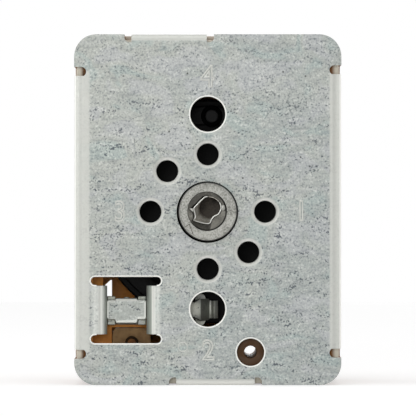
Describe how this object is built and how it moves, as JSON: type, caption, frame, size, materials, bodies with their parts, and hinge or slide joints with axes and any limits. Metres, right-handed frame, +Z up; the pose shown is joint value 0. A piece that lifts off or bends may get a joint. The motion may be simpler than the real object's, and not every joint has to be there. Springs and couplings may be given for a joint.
{
  "type": "infinite control switch",
  "caption": "Cam-driven thermal power controller: a galvanised front plate with mounting holes on a phenolic housing, a push-to-turn shaft socket and blade terminals behind.",
  "frame": {"origin": "middle of the bottom of the bounding box, so the switch stands on its lower edge", "axes": "+Z up along the plate's height, +X right as seen from the front, front plate faces -Y, terminals towards +Y"},
  "size_m": [0.0466, 0.0342, 0.0612],
  "materials": {
    "front_plate": "galvanised sheet, matt",
    "housing": "brown phenolic moulding",
    "spindle": "turned, fine rings",
    "spindle_clip": "bright spring steel",
    "spindle_spring": "spring steel",
    "cam_disc": "black moulding",
    "pivot_bracket": "galvanised sheet",
    "pivot_pin": "bright pin",
    "follower_lever": "galvanised sheet",
    "heater_rivet": "copper",
    "bimetal_strip": "bimetal sheet",
    "heater_plate": "mica board",
    "heater_winding": "resistance wire",
    "push_button": "steatite",
    "snap_blade": "spring bronze",
    "main_moving_contact": "silver",
    "main_fixed_contact": "silver",
    "snap_blade_rivet": "brass",
    "calibration_screw": "brass",
    "terminal_feed": "brass sheet",
    "terminal_load": "brass sheet",
    "terminal_line": "brass sheet",
    "terminal_line_fixed": "brass sheet",
    "terminal_pilot": "brass sheet",
    "terminal_pilot_fixed": "brass sheet",
    "line_blade": "spring bronze",
    "line_moving_contact": "silver",
    "line_fixed_contact": "silver",
    "line_blade_rivet": "brass",
    "pilot_blade": "spring bronze",
    "pilot_moving_contact": "silver",
    "pilot_fixed_contact": "silver",
    "pilot_blade_rivet": "brass"
  },
  "bodies": {
    "case": {"front_plate": "front_plate", "housing": "housing", "pivot_bracket": "pivot_bracket", "pivot_pin": "pivot_pin", "terminal_feed": "terminal_feed", "terminal_load": "terminal_load", "main_fixed_contact": "main_fixed_contact", "snap_blade_rivet": "snap_blade_rivet", "calibration_screw": "calibration_screw", "terminal_line": "terminal_line", "terminal_line_fixed": "terminal_line_fixed", "line_fixed_contact": "line_fixed_contact", "line_blade_rivet": "line_blade_rivet", "terminal_pilot": "terminal_pilot", "terminal_pilot_fixed": "terminal_pilot_fixed", "pilot_fixed_contact": "pilot_fixed_contact", "pilot_blade_rivet": "pilot_blade_rivet"},
    "cam": {"cam_disc": "cam_disc", "spindle_spring": "spindle_spring"},
    "spindle": {"spindle": "spindle", "spindle_clip": "spindle_clip"},
    "lever": {"follower_lever": "follower_lever", "heater_rivet": "heater_rivet"},
    "thermal_strip": {"bimetal_strip": "bimetal_strip", "heater_plate": "heater_plate", "heater_winding": "heater_winding", "push_button": "push_button"},
    "main_blade": {"snap_blade": "snap_blade", "main_moving_contact": "main_moving_contact"},
    "line_leaf": {"line_blade": "line_blade", "line_moving_contact": "line_moving_contact"},
    "pilot_leaf": {"pilot_blade": "pilot_blade", "pilot_moving_contact": "pilot_moving_contact"}
  },
  "joints": [
    {"name": "cam_turn", "type": "hinge", "parent": "case", "child": "cam", "pos_m": [0, -0.0085, 0.03026], "axis": [0, 1, 0], "range_deg": [0, 330]},
    {"name": "spindle_push", "type": "slide", "parent": "cam", "child": "spindle", "axis": [0, 1, 0], "range_m": [0, 0.0024], "stiffness_N_per_m": 500, "springref_m": -0.003, "deforming": ["spindle_spring"]},
    {"name": "lever_follow", "type": "hinge", "parent": "case", "child": "lever", "pos_m": [-0.0142, -0.0123, 0.01306], "axis": [0, 0, -1], "range_deg": [0, 6.3]},
    {"name": "strip_bend", "type": "hinge", "parent": "lever", "child": "thermal_strip", "pos_m": [-0.0133, -0.0116, 0.00576], "axis": [0, 0, 1], "range_deg": [0, 3], "stiffness_Nm_per_rad": 0.01},
    {"name": "main_contact", "type": "hinge", "parent": "case", "child": "main_blade", "pos_m": [-0.0136, -0.0062, 0.00576], "axis": [0, 0, 1], "range_deg": [0, 3]},
    {"name": "line_contact", "type": "hinge", "parent": "case", "child": "line_leaf", "pos_m": [-0.0106, -0.0014, 0.04686], "axis": [0, -1, 0], "range_deg": [0, 2.2], "stiffness_Nm_per_rad": 0.01},
    {"name": "pilot_contact", "type": "hinge", "parent": "case", "child": "pilot_leaf", "pos_m": [0.0166, -0.00425, 0.03386], "axis": [0, -1, 0], "range_deg": [0, 2.2], "stiffness_Nm_per_rad": 0.01}
  ],
  "couplings": [
    {"joint": "lever_follow", "follows": "cam_turn", "ratio": 0.01906},
    {"joint": "main_contact", "follows": "strip_bend", "ratio": 0.976}
  ]
}
